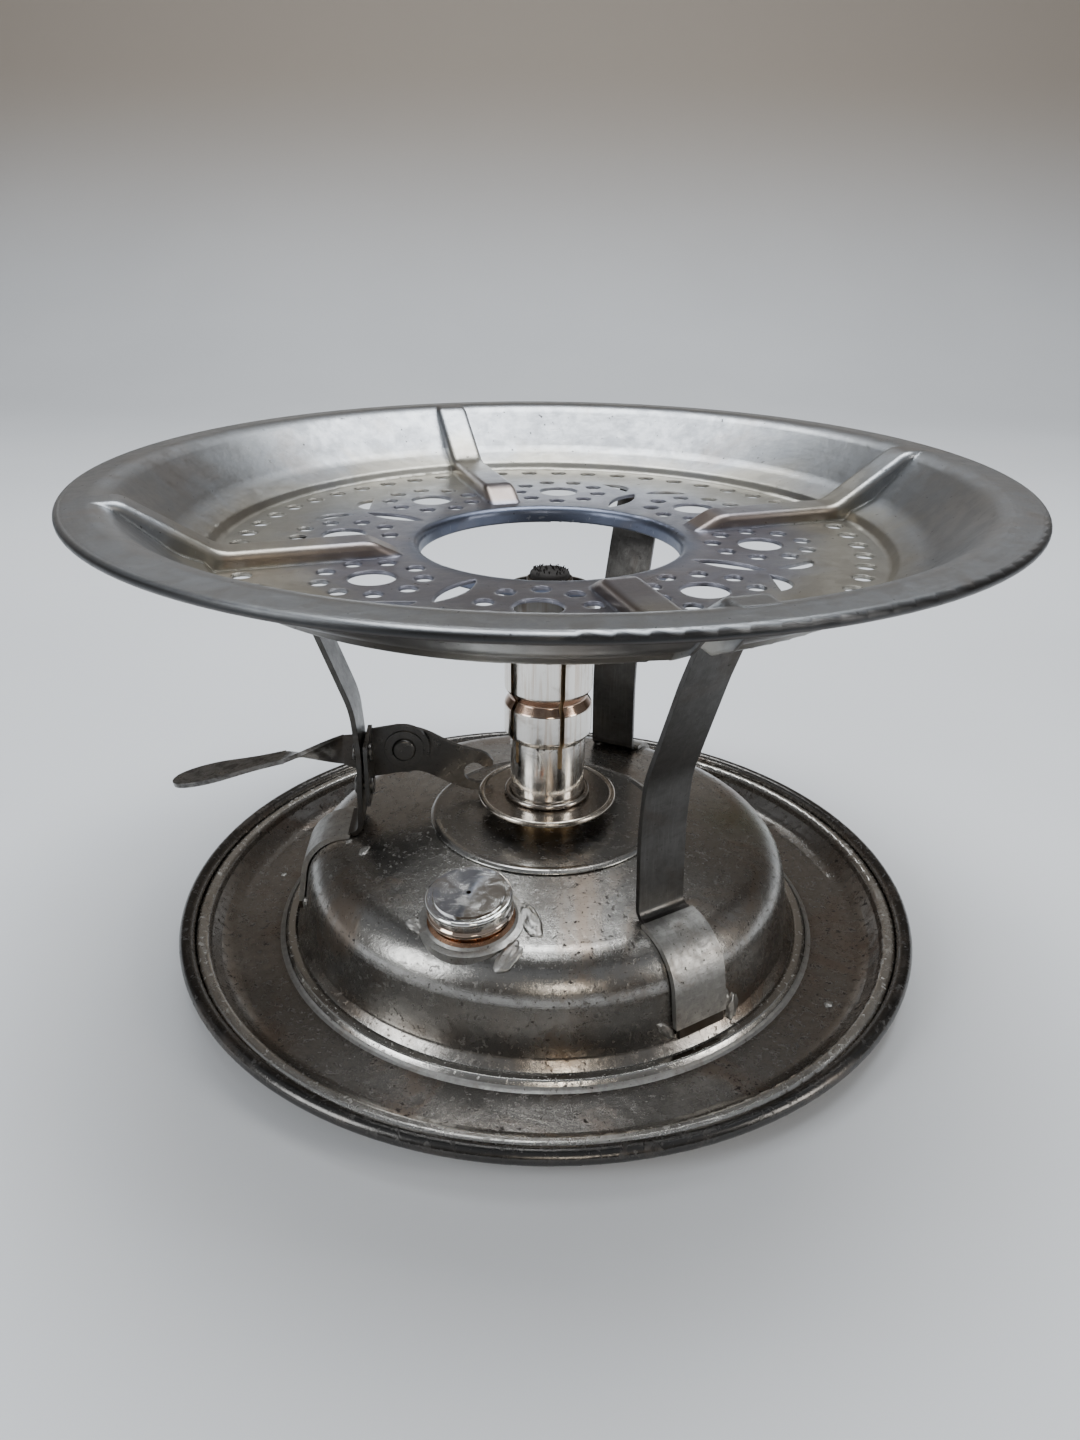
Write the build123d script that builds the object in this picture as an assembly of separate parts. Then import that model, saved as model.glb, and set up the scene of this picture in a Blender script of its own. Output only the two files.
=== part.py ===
from build123d import *
import os
from math import atan2, cos, degrees, hypot, radians, sin, sqrt

# Spirit table stove: a round drip tray carries a flat fuel tank, three sheet legs hold a
# perforated pan plate over the burner, and a claw lever lifts the burner's slotted sleeve.
# Millimetres, +Z up, origin on the burner axis at the underside of the tray.
# -Y is the front (filler side), and the lever's handle points towards -X.

os.makedirs("parts", exist_ok=True)

# ---- sheet thicknesses and clearances
tray_sheet = 0.7
tank_sheet = 0.6
plate_sheet = 0.8
strap_sheet = 1.2
lever_sheet = 1.2
bracket_sheet = 1.0
sleeve_wall = 0.5
tube_wall = 0.6
running_clearance = 0.06        # radial, between pieces that turn or slide on each other
solder_gap = 0.05               # between soldered pieces
side_clearance = 0.1            # between the lever and its washers

# ---- drip tray
tray_radius = 90.0              # outside of the rolled rim
tray_floor_radius = 79.5        # where the flat floor starts to rise
tray_rim_height = 6.4           # centre of the rolled rim
tray_rim_roll = 1.8             # outer radius of the roll
tray_bead_radius = 84.7
tray_bead_height = 6.4
tray_step_height = 4.4

# ---- fuel tank
tank_foot_radius = 65.4         # edge of the soldered foot
tank_foot_flare = 3.0            # height of the flare at the foot of the wall
tank_wall_foot_radius = 60.7
tank_corner_radius = 57.6       # where the wall and the top cone would meet
tank_corner_height = 23.5
tank_shoulder_fillet = 10.5
tank_crown_radius = 28.6        # inner end of the visible cone, under the burner plate
tank_crown_height = 27.6
burner_plate_lift = 0.9         # top of the burner plate above the crown

# ---- burner
tube_radius = 8.4               # outside of the wick tube
tube_mouth_radius = 5.2
tube_shoulder_height = 75.0
tube_shoulder_rise = 3.5
tube_top = 88.5
wick_rise = 1.8                 # wick above the tube's mouth
sleeve_foot_height = 33.5
sleeve_length = 52.5
sleeve_belly_radius = tube_radius + 1.95   # outside of the wider upper part
sleeve_step_height = 50.5
sleeve_groove_height = 60.4
sleeve_groove_width = 4.4
slit_count = 5
slit_width = 1.1
slit_foot_height = 45.0
slit_azimuth = 289.0
flange_radius = 16.8            # outside of the flange's bead
flange_bead = 0.8               # radius of the bead
flange_height = 33.8            # middle of the flange

# ---- filler
filler_azimuth = 249.5
filler_distance = 45.0
neck_radius = 7.2               # outside of the threaded part
neck_bore_radius = neck_radius - 1.0
neck_height = 5.6
neck_foot_radius = neck_radius + 2.3
neck_foot_height = 1.3
cap_radius = neck_radius + 2.1
cap_skirt_foot = 2.7
cap_height = 8.0
cap_top_sheet = 0.9
cap_disc_radius = cap_radius - 1.7   # flat raised disc inside the rolled edge
vent_radius = 0.5
gasket_sheet = 0.8
solder_radius = neck_foot_radius + 2.0
solder_rise = 0.9

plate_radius = 99.6             # pan plate, outside of its hem
plate_scale = plate_radius / 99.6

# ---- legs
leg_azimuths = {"leg_left": 183.0, "leg_front": 303.0, "leg_back": 66.0}
strap_width = 12.0
leg_waist_radius = 44.6
leg_waist_height = 46.0
leg_foot_end_height = 5.4
leg_foot_bend_radius = 47.0
leg_top_radius = 59.6 * plate_scale
leg_tab_length = 5.2
leg_bend_fillet = 2.4

# ---- pan plate
plate_rim_height = 112.6
plate_hem = 1.0                 # radius of the rolled hem
plate_crest_radius = 91.0 * plate_scale       # top of the wall, where the flat rim starts
plate_rim_drop = 0.5            # the rim falls a little towards the hem
plate_floor_height = 97.4       # top of the floor
plate_floor_radius = 72.5 * plate_scale
plate_hole_radius = 28.9 * plate_scale        # inside of the down-turned lip
plate_lip_depth = 3.4
rib_count = 4
rib_azimuth = 19.0
rib_width = 8.4 * plate_scale
rib_height = 3.5
rib_inner_radius = 32.6 * plate_scale
rib_nose_length = 7.5 * plate_scale            # slope from the floor to the rib's top
rim_hole_count = 52
rim_hole_ring = 67.5 * plate_scale
rim_hole_radius = 2.1 * plate_scale
flower_distance = 46.0 * plate_scale
flower_spread = 23.5            # degrees each side of the leaf
flower_eye_radius = 4.9 * plate_scale
petal_count = 9
petal_ring = 10.3 * plate_scale
petal_radius = 1.95 * plate_scale
leaf_inner = 33.0 * plate_scale
leaf_outer = 49.0 * plate_scale
leaf_width = 4.6 * plate_scale
crescent_inner = 50.4 * plate_scale
crescent_outer = 56.4 * plate_scale
crescent_inner_turn = 3.2       # degrees from the leaf
crescent_outer_turn = 12.0
crescent_width = 3.4 * plate_scale

# ---- lever and its bracket, in the left leg's own plane: u is outwards from the burner axis
lever_offset = -8.0             # beside the leg strap, on its far side
pivot_u = 35.0
pivot_z = 43.0
pivot_radius = 1.6
pivot_head_radius = 2.9
pivot_head_height = 1.0
ear_radius = 6.4
washer_radius = 4.9
washer_sheet = 0.45
bracket_foot_z = 33.4
bracket_top_z = 49.2
bracket_rivet_radius = 1.2
bracket_rivet_inset = 3.4
notch_u = 17.9
notch_z = 35.6
notch_radius = 2.6
claw_tip_u = 13.0
twist_start_u = 50.0
twist_end_u = 65.5
twist_steps = 6
blade_end_u = 92.8
blade_drop = 6.4
blade_neck_width = 5.2
blade_width = 9.2
handle_height = 7.6


def save(name, shape):
    shape.label = name
    export_step(shape, f"parts/{name}.step")


def spin(profile):
    """Full turn of a profile drawn as (radius, height)."""
    return revolve(Plane.XZ * profile, Axis.Z)


def sheet(points, radii, thickness):
    """Flat band of one thickness along a polyline with rounded corners."""
    path = FilletPolyline(*points, radius=radii)
    return make_face(offset(path, amount=thickness / 2, side=Side.BOTH))


def region(points, radii=None):
    """Closed area from corner points, with the given fillets at named corners."""
    face = make_face(Polyline(*points, close=True))
    for corner, radius in (radii or {}).items():
        near = face.vertices().sort_by_distance((*corner, 0))[0]
        face = fillet(near, radius)
    return face


def box_between(low, high):
    size = [b - a for a, b in zip(low, high)]
    centre = [(a + b) / 2 for a, b in zip(low, high)]
    return Pos(*centre) * Box(*size)


def right_half():
    """Keeps a profile off the far side of the axis."""
    return Pos(150, 0) * Rectangle(300, 600)


def drum(radius, low, high):
    return Pos(0, 0, (low + high) / 2) * Cylinder(radius, high - low)


# ---------------------------------------------------------------- drip tray

rim_centre = tray_radius - tray_rim_roll
roll_inner = tray_rim_roll - tray_sheet


def drip_tray():
    middle = tray_sheet / 2
    bead_half = 1.7
    points = [
        (-5, middle),
        (tray_floor_radius, middle),
        (tray_bead_radius - bead_half, tray_step_height),
        (tray_bead_radius - bead_half + 0.5, tray_bead_height),
        (tray_bead_radius + bead_half - 0.5, tray_bead_height),
        (tray_bead_radius + bead_half - 0.2, tray_step_height),
        (rim_centre, tray_rim_height - tray_rim_roll + middle),
    ]
    flat = sheet(points, [5.0, 0.6, 1.0, 1.0, 0.6], tray_sheet) & right_half()
    roll = Circle(tray_rim_roll) - Circle(roll_inner)
    flat -= Pos(rim_centre, tray_rim_height) * Circle(roll_inner)
    return spin(flat + Pos(rim_centre, tray_rim_height) * roll)


def tray_rim_wire():
    return spin(Pos(rim_centre, tray_rim_height) * Circle(roll_inner - solder_gap))


# ---------------------------------------------------------------- fuel tank

shell_half = tank_sheet / 2
cone_rise = tank_crown_height - tank_corner_height
cone_run = tank_corner_radius - tank_crown_radius
cone_slope = degrees(atan2(cone_rise, cone_run))
tube_hole_radius = tube_radius + solder_gap
shell_seat = tray_sheet + solder_gap + shell_half


def cone_height(radius):
    """Middle of the tank's sheet on the top cone."""
    return tank_corner_height + cone_rise * (tank_corner_radius - radius) / cone_run


def shell_points():
    """Middle of the tank's sheet: soldered lip, rolled ring, flare, wall, cone and crown."""
    return [
        (tank_foot_radius, shell_seat),
        (tank_foot_radius - 0.7, shell_seat + 0.95),
        (tank_foot_radius - 2.1, shell_seat + 0.95),
        (tank_foot_radius - 3.0, shell_seat + 0.5),
        (tank_wall_foot_radius - 0.1, shell_seat + tank_foot_flare),
        (tank_corner_radius, tank_corner_height),
        (tank_crown_radius, tank_crown_height),
        (tube_hole_radius + shell_half, tank_crown_height + 0.02),
    ]


shell_fillets = [0.4, 0.4, 0.45, 2.0, tank_shoulder_fillet, 6.0]


def tank_solid():
    """The tank as if filled, to trim what is soldered on its outside."""
    outer = sheet(shell_points(), shell_fillets, tank_sheet)
    outline = spin(outer)
    core = region([
        (0, shell_seat), (tank_foot_radius - 3.0, shell_seat + 0.3),
        (tank_wall_foot_radius - 0.1, shell_seat + tank_foot_flare),
        (tank_corner_radius + 0.6, tank_corner_height - tank_shoulder_fillet),
        (tank_corner_radius - tank_shoulder_fillet, cone_height(tank_corner_radius - tank_shoulder_fillet)),
        (tank_crown_radius, tank_crown_height), (0, tank_crown_height),
    ])
    return outline + spin(core)


def filler_place():
    """Local frame of the filler: on the cone, with its axis square to the sheet."""
    foot = cone_height(filler_distance) + shell_half
    turn = Rot(0, 0, filler_azimuth)
    return turn * Pos(filler_distance, 0, foot) * Rot(0, cone_slope, 0)


def tank_shell():
    shell = spin(sheet(shell_points(), shell_fillets, tank_sheet))
    return shell - filler_place() * drum(neck_radius + solder_gap, -6, 6)


def tank_floor():
    radius = tank_wall_foot_radius - 1.6
    low = tray_sheet + solder_gap
    return drum(radius, low, low + tank_sheet)


def tank_seam_solder():
    low = tray_sheet
    ring = region([
        (tank_foot_radius + shell_half + 0.02, low),
        (tank_foot_radius + 1.6, low),
        (tank_foot_radius + 0.9, low + 0.25),
        (tank_foot_radius + shell_half + 0.02, low + 0.65),
    ])
    return spin(ring)


plate_seat = tank_crown_height + shell_half + solder_gap
burner_plate_top = tank_crown_height + burner_plate_lift + shell_half


def burner_plate():
    middle = burner_plate_top - tank_sheet / 2
    points = [
        (tube_hole_radius + tank_sheet / 2, middle),
        (tank_crown_radius - 2.2, middle),
        (tank_crown_radius - 1.0, middle + 0.25),
        (tank_crown_radius - 0.3, plate_seat + tank_sheet / 2),
    ]
    return spin(sheet(points, [0.8, 0.5], tank_sheet))


# ---------------------------------------------------------------- burner

sleeve_bore = tube_radius + running_clearance
sleeve_middle = sleeve_bore + sleeve_wall / 2
belly_middle = sleeve_belly_radius - sleeve_wall / 2


def wick_tube():
    half = tube_wall / 2
    low = tray_sheet + tank_sheet + 1.6
    points = [
        (tube_radius - half, low),
        (tube_radius - half, tube_shoulder_height),
        (tube_mouth_radius - half, tube_shoulder_height + tube_shoulder_rise),
        (tube_mouth_radius - half, tube_top),
    ]
    return spin(sheet(points, [2.2, 2.2], tube_wall))


def wick():
    radius = tube_mouth_radius - tube_wall - 0.1
    low = tray_sheet + tank_sheet + 0.6
    body = drum(radius, low, tube_top + wick_rise)
    return fillet(body.edges().sort_by(Axis.Z)[-1], 0.8)


def burner_sleeve():
    groove = sleeve_groove_height
    half_groove = sleeve_groove_width / 2
    top = sleeve_foot_height + sleeve_length
    points = [
        (sleeve_middle, sleeve_foot_height),
        (sleeve_middle, sleeve_step_height - 0.6),
        (belly_middle, sleeve_step_height + 0.9),
        (belly_middle, groove - half_groove),
        (sleeve_middle, groove),
        (belly_middle, groove + half_groove),
        (belly_middle, top),
    ]
    body = spin(sheet(points, [0.7, 0.7, 0.9, 0.9, 0.9], sleeve_wall))
    reach = sleeve_belly_radius + 2
    slit = box_between((0, -slit_width / 2, slit_foot_height), (reach, slit_width / 2, top + 2))
    slit += Pos(reach / 2, 0, slit_foot_height) * Rot(0, 90, 0) * Cylinder(slit_width / 2, reach)
    turns = [slit_azimuth + 360 / slit_count * i for i in range(slit_count)]
    return body - [Rot(0, 0, turn) * slit for turn in turns]


def sleeve_flange():
    inner = sleeve_bore + sleeve_wall + solder_gap
    ring = flange_radius - flange_bead
    flat = region([
        (inner, flange_height - 0.3), (ring, flange_height - 0.3),
        (ring, flange_height + 0.3), (inner, flange_height + 0.3),
    ])
    return spin(flat + Pos(ring, flange_height) * Circle(flange_bead))


def sleeve_foot_ring():
    wire = 0.7
    radius = sleeve_bore + sleeve_wall + wire + solder_gap
    return spin(Pos(radius, flange_height + 0.3 + wire) * Circle(wire))


# ---------------------------------------------------------------- filler

def filler_neck():
    profile = region([
        (neck_bore_radius, -2.0), (neck_radius, -2.0), (neck_radius, 0.02),
        (neck_foot_radius, 0.02), (neck_foot_radius, neck_foot_height * 0.6),
        (neck_foot_radius - 0.9, neck_foot_height), (neck_radius, neck_foot_height),
        (neck_radius, neck_height), (neck_bore_radius, neck_height),
    ])
    return filler_place() * spin(profile)


def cap_gasket():
    low = neck_height + solder_gap
    ring = drum(neck_radius - 0.2, low, low + gasket_sheet) - drum(1.6, low - 1, low + 2)
    return filler_place() * ring


def filler_cap():
    bore = neck_radius + running_clearance
    ceiling = neck_height + solder_gap + gasket_sheet + solder_gap
    top = ceiling + cap_top_sheet
    waist = cap_radius - 0.45
    profile = region([
        (vent_radius, ceiling), (bore, ceiling), (bore, cap_skirt_foot),
        (cap_radius, cap_skirt_foot), (cap_radius, cap_skirt_foot + 1.1),
        (waist, cap_skirt_foot + 1.5), (waist, top - 1.7),
        (cap_radius, top - 1.4), (cap_radius, top - 0.25),
        (cap_disc_radius + 0.25, top - 0.25), (cap_disc_radius, top + 0.25), (vent_radius, top + 0.25),
    ], {(cap_radius, cap_skirt_foot): 0.35, (cap_radius, cap_skirt_foot + 1.1): 0.35,
        (cap_radius, top - 1.4): 0.35, (cap_radius, top - 0.25): 0.55})
    return filler_place() * spin(profile)


def filler_solder():
    inner = neck_foot_radius + 0.02
    profile = region([
        (inner, -4.0), (solder_radius, -4.0), (solder_radius, 0.1),
        (inner + 0.6, solder_rise * 0.5), (inner, solder_rise),
    ])
    ring = filler_place() * spin(profile) - tank_solid()
    return ring.solids().sort_by(Axis.Z)[-1]


# ---------------------------------------------------------------- pan plate

plate_under = plate_floor_height - plate_sheet
hem_centre = plate_radius - plate_hem
hem_height = plate_rim_height - plate_hem - plate_rim_drop


def plate_points():
    """Middle of the plate's sheet, from the lip of the hole to the hem."""
    half = plate_sheet / 2
    floor = plate_floor_height - half
    rise = plate_rim_height - plate_floor_height
    return [
        (plate_hole_radius + half, floor - plate_lip_depth + half),
        (plate_hole_radius + half, floor),
        (plate_floor_radius, floor),
        (plate_floor_radius + 1.6, floor + 2.0),
        (plate_floor_radius + 7.0, floor + 0.26 * rise + 0.6),
        (plate_crest_radius, plate_rim_height - half),
        (hem_centre - plate_hem + 0.5, plate_rim_height - half - plate_rim_drop),
    ]


plate_fillets = [1.2, 1.6, 0.8, 9.0, 6.0]


def rib_profile(drop, low):
    """Side view of a rib: its top lies a sheet lower for the hollow underneath."""
    top = plate_floor_height + rib_height - drop
    inner = rib_inner_radius + drop * 1.6
    rim = plate_rim_height - 0.1 - drop
    knee = plate_floor_radius - 2.5 + drop * 0.4
    shoulder = plate_crest_radius - 3.4 + drop * 0.4
    end = plate_crest_radius + 1.8 - drop * 3
    corners = [
        (inner, plate_floor_height - low), (inner + rib_nose_length, top), (knee, top), (shoulder, rim),
        (end, rim), (end, rim - 0.3 - low), (shoulder, rim - 3.6 - low),
        (plate_floor_radius + 7.0, plate_floor_height + 3.4 - low),
        (plate_floor_radius, plate_floor_height - 0.2 - low),
    ]
    return region(corners, {corners[1]: 7.0, corners[2]: 8.0, corners[3]: 5.0})


def rib_bar(drop, low, width):
    bar = extrude(Plane.XZ * rib_profile(drop, low), width / 2, both=True)
    rounding = min(1.5, width / 4)
    middle = (rib_inner_radius + plate_floor_radius) / 2
    top = plate_floor_height + rib_height - drop
    long_edges = bar.edges().filter_by(Axis.X).filter_by(lambda e: abs(e.center().Z - top) < 0.1)
    long_edges = long_edges.filter_by(lambda e: abs(e.center().X - middle) < 12)
    chain = [e for edge in long_edges for e in edge_chain(bar, edge)]
    return fillet(chain, rounding)


def edge_chain(solid, start):
    """Edges of one side of the bar that run on smoothly from the starting edge."""
    side = start.center().Y
    own = [e for e in solid.edges() if abs(e.center().Y - side) < 0.01]
    chain = [start]
    grown = True
    while grown:
        grown = False
        for edge in own:
            if any(edge.is_same(done) for done in chain):
                continue
            if any(smooth_joint(edge, done) for done in chain):
                chain.append(edge)
                grown = True
    return chain


def smooth_joint(first, second):
    for a in (0, 1):
        for b in (0, 1):
            if (first.position_at(a) - second.position_at(b)).length > 0.01:
                continue
            turn = (first.tangent_at(a)).get_angle(second.tangent_at(b))
            if min(turn, 180 - turn) < 2:
                return True
    return False


def almond(length, width):
    """Pointed leaf between two arcs, along X."""
    half = length / 2
    arcs = ThreePointArc((-half, 0), (0, width / 2), (half, 0))
    arcs += ThreePointArc((half, 0), (0, -width / 2), (-half, 0))
    return make_face(arcs)


def half_lens(length, width):
    """Flat on one side and bowed on the other, along X."""
    half = length / 2
    outline = ThreePointArc((-half, 0), (0, width), (half, 0)) + Line((half, 0), (-half, 0))
    return make_face(outline)


def flower():
    shapes = Circle(flower_eye_radius)
    for i in range(petal_count):
        turn = 20 + 360 / petal_count * i
        shapes += Rot(0, 0, turn) * Pos(petal_ring, 0) * Circle(petal_radius)
    return shapes


def crescent(side):
    """One of the two slots that open out from the tip of the leaf."""
    near = Vector(crescent_inner * cos(radians(crescent_inner_turn)),
                  crescent_inner * sin(radians(crescent_inner_turn)) * side)
    far = Vector(crescent_outer * cos(radians(crescent_outer_turn)),
                 crescent_outer * sin(radians(crescent_outer_turn)) * side)
    along = far - near
    middle = (near + far) * 0.5
    turn = degrees(atan2(along.Y, along.X))
    bow = half_lens(along.length, crescent_width)
    bow = bow if side < 0 else mirror(bow, Plane.XZ)
    return Pos(middle.X, middle.Y) * Rot(0, 0, turn) * bow


def quarter_pattern():
    """Perforations between two ribs, with the leaf along X."""
    leaf_middle = (leaf_inner + leaf_outer) / 2
    shapes = Pos(leaf_middle, 0) * almond(leaf_outer - leaf_inner, leaf_width)
    for side in (-1, 1):
        shapes += Rot(0, 0, side * flower_spread) * Pos(flower_distance, 0) * flower()
        shapes += crescent(side)
    pitch = 360 / rim_hole_count
    per_quarter = rim_hole_count // rib_count - 1
    for i in range(per_quarter):
        turn = pitch * (i - (per_quarter - 1) / 2)
        shapes += Rot(0, 0, turn) * Pos(rim_hole_ring, 0) * Circle(rim_hole_radius)
    return shapes


def pot_plate():
    hem = Circle(plate_hem) - Circle(plate_hem * 0.35)
    flat = sheet(plate_points(), plate_fillets, plate_sheet)
    flat -= Pos(hem_centre, hem_height) * Circle(plate_hem * 0.35)
    plate = spin(flat + Pos(hem_centre, hem_height) * hem)
    bar = rib_bar(0, 0.5, rib_width)
    hollow = rib_bar(plate_sheet, 3.5, rib_width - 2 * plate_sheet)
    turns = [rib_azimuth + 360 / rib_count * i for i in range(rib_count)]
    plate += [Rot(0, 0, turn) * bar for turn in turns]
    plate -= [Rot(0, 0, turn) * hollow for turn in turns]
    pattern = Pos(0, 0, plate_under - 1) * extrude(quarter_pattern(), plate_sheet + 2)
    half_quarter = 180 / rib_count
    return plate - [Rot(0, 0, turn + half_quarter) * pattern for turn in turns]


# ---------------------------------------------------------------- legs

strap_gap = shell_half + strap_sheet / 2 + solder_gap


def beside(start, end, distance):
    """Both ends of a line moved sideways, to the right of its direction."""
    run = (end[0] - start[0], end[1] - start[1])
    length = hypot(*run)
    shift = (run[1] / length * distance, -run[0] / length * distance)
    return [(p[0] + shift[0], p[1] + shift[1]) for p in (start, end)]


def crossing(first, second):
    """Where two lines meet."""
    (x1, y1), (x2, y2) = first
    (x3, y3), (x4, y4) = second
    cut = (x1 - x2) * (y3 - y4) - (y1 - y2) * (x3 - x4)
    a = x1 * y2 - y1 * x2
    b = x3 * y4 - y3 * x4
    return ((a * (x3 - x4) - (x1 - x2) * b) / cut, (a * (y3 - y4) - (y1 - y2) * b) / cut)


wall_foot = (tank_wall_foot_radius - 0.1, shell_seat + tank_foot_flare)
wall_line = beside(wall_foot, (tank_corner_radius, tank_corner_height), strap_gap)
top_line = beside((tank_corner_radius, tank_corner_height), (tank_crown_radius, tank_crown_height), strap_gap)


def along(line, value, axis):
    """Point of a line at the given radius (axis 0) or height (axis 1)."""
    start, end = line
    share = (value - start[axis]) / (end[axis] - start[axis])
    return tuple(start[i] + share * (end[i] - start[i]) for i in (0, 1))


def leg_points():
    """Middle of the strap, from the foot on the tank wall to the tab under the plate."""
    tab_height = plate_under - strap_sheet / 2 - solder_gap
    return [
        along(wall_line, leg_foot_end_height, 1),
        crossing(wall_line, top_line),
        along(top_line, leg_foot_bend_radius - 1.6, 0),
        (leg_waist_radius, leg_waist_height),
        (leg_waist_radius + 0.9, leg_waist_height + 12.5),
        (leg_top_radius - 5.4, plate_under - 13.6),
        (leg_top_radius, tab_height),
        (leg_top_radius + leg_tab_length, tab_height),
    ]


foot_fillet = tank_shoulder_fillet + strap_gap
leg_fillets = [foot_fillet, leg_bend_fillet, 60.0, 26.0, 20.0, 1.6]


def leg_strap():
    profile = sheet(leg_points(), leg_fillets, strap_sheet)
    return extrude(Plane.XZ * profile, strap_width / 2, both=True)


def leg(name):
    strap = leg_strap()
    if name == "leg_left":
        strap -= [rivet_place(z) * drum(bracket_rivet_radius + solder_gap, -9, 9) for z in rivet_heights()]
    return Rot(0, 0, leg_azimuths[name]) * strap


def leg_foot_solder():
    points = leg_points()[:3]
    pad = sheet([points[0], points[1], along(top_line, leg_foot_bend_radius + 1.5, 0)], [foot_fillet], 1.3)
    pad = extrude(Plane.XZ * pad, strap_width / 2 + 0.8, both=True)
    pad &= box_between((0, -50, leg_foot_end_height + 2), (100, 50, 60))
    pad -= leg_strap()
    solid = tank_solid()
    pads = [Rot(0, 0, turn) * pad - solid for turn in leg_azimuths.values()]
    return Compound(children=[piece for shape in pads for piece in shape.solids()])


def leg_top_solder():
    low = plate_under - strap_sheet * 0.75
    tab = leg_top_radius + 0.9
    half = strap_width / 2 + 1.1
    pad = box_between((tab, -half, low), (tab + leg_tab_length + 0.2, half, plate_under))
    pad -= leg_strap()
    pads = [Rot(0, 0, turn) * pad for turn in leg_azimuths.values()]
    return Compound(children=[piece for shape in pads for piece in shape.solids()])


# ---------------------------------------------------------------- lever

left_turn = Rot(0, 0, leg_azimuths["leg_left"])
lever_front = lever_offset + lever_sheet / 2
ear_back = lever_front + side_clearance + washer_sheet
ear_front = ear_back + bracket_sheet
bracket_u = leg_waist_radius - strap_sheet / 2 - solder_gap - 0.35
pivot_front = ear_front + washer_sheet


def upright(profile, low, high):
    """Profile drawn as (u, z), made solid between two distances beside the leg's plane."""
    solid = extrude(Plane.XZ * profile, low - high)
    return Pos(0, low, 0) * solid


def across(radius, u, z, low, high):
    """Round bar that crosses the lever's plane."""
    return Pos(u, (low + high) / 2, z) * Rot(90, 0, 0) * Cylinder(radius, high - low)


def rivet_heights():
    return [bracket_foot_z + bracket_rivet_inset, bracket_top_z - bracket_rivet_inset]


def rivet_place(z):
    return Pos(bracket_u, 1.0, z) * Rot(0, 90, 0)


def claw():
    head = Spline(
        (twist_start_u, pivot_z + 2.7), (42.5, pivot_z + 4.0), (36.2, pivot_z + 5.2), (29.9, pivot_z + 4.1),
        (23.8, pivot_z + 0.8), (18.9, pivot_z - 1.0), (15.3, pivot_z - 2.2), (claw_tip_u + 0.2, pivot_z - 4.3),
    )
    foot_z = burner_plate_top + 1.7
    tail = Spline(
        (claw_tip_u, foot_z + 0.5), (16.8, foot_z), (19.8, foot_z + 0.5), (22.9, foot_z + 1.6),
        (26.8, pivot_z - 8.9), (31.5, pivot_z - 6.9), (36.8, pivot_z - 7.1), (42.9, pivot_z - 7.0),
        (twist_start_u, pivot_z - 4.8),
    )
    outline = head + Line(head @ 1, tail @ 0) + tail + Line(tail @ 1, head @ 0)
    face = make_face(outline)
    mouth_low = flange_height - flange_bead - 0.45
    mouth_high = notch_z + notch_radius - 1.2
    mouth = Pos(notch_u - 5, (mouth_low + mouth_high) / 2) * Rectangle(10, mouth_high - mouth_low)
    face -= Pos(notch_u, notch_z) * Circle(notch_radius)
    face -= mouth
    tips = [v for v in face.vertices() if v.X < claw_tip_u + 1.5]
    return fillet(tips, 0.55)


def handle_section(share):
    """Cross-section of the twist: upright at the claw, flat at the blade."""
    start_z = pivot_z - 0.95
    end_z = start_z - 2.2
    u = twist_start_u + (twist_end_u - twist_start_u) * share
    z = start_z + (end_z - start_z) * share
    height = handle_height + (blade_neck_width - handle_height) * share
    plane = Plane(origin=(u, lever_offset, z), x_dir=(0, 1, 0), z_dir=(1, 0, 0))
    return plane * Rot(0, 0, -90 * share) * Rectangle(lever_sheet, height)


def twist():
    return loft([handle_section(i / twist_steps) for i in range(twist_steps + 1)])


def blade():
    """Flat finger blade, sloping down to its rounded end."""
    root_z = pivot_z - 3.15
    run = blade_end_u - twist_end_u
    length = hypot(run, blade_drop)
    neck = blade_neck_width / 2
    half = blade_width / 2
    side = Spline((-0.8, neck), (length * 0.35, neck + 0.9), (length * 0.75, half), (length, 0),
                  tangents=[(1, 0), (0, -1)])
    other = mirror(side, Plane.XZ)
    face = make_face(side + other + Line(side @ 0, other @ 0))
    plane = Plane(origin=(twist_end_u, lever_offset, root_z), x_dir=(run, 0, -blade_drop),
                  z_dir=(blade_drop, 0, run))
    return extrude(plane * face, lever_sheet / 2, both=True)


def lever():
    body = upright(claw(), lever_offset - lever_sheet / 2, lever_front)
    body += twist()
    body += blade()
    bore = across(pivot_radius + running_clearance, pivot_u, pivot_z, lever_offset - 5, lever_offset + 5)
    return left_turn * (body - bore)


def lever_bracket():
    low = ear_back
    base = box_between((bracket_u - bracket_sheet, low, bracket_foot_z),
                       (bracket_u, strap_width / 2 - 0.3, bracket_top_z))
    base_u = bracket_u - bracket_sheet
    ear = region([
        (base_u + bracket_sheet, bracket_foot_z + 2.0), (base_u + bracket_sheet, bracket_top_z - 1.0),
        (pivot_u + 1.5, pivot_z + ear_radius), (pivot_u, pivot_z + ear_radius),
        (pivot_u, pivot_z - ear_radius), (pivot_u + 1.5, pivot_z - ear_radius),
    ])
    ear += Pos(pivot_u, pivot_z) * Circle(ear_radius)
    body = base + upright(ear, low, low + bracket_sheet)
    body -= across(pivot_radius + solder_gap, pivot_u, pivot_z, low - 3, low + 5)
    body -= [rivet_place(z) * drum(bracket_rivet_radius + solder_gap, -5, 3) for z in rivet_heights()]
    return left_turn * body


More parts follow.
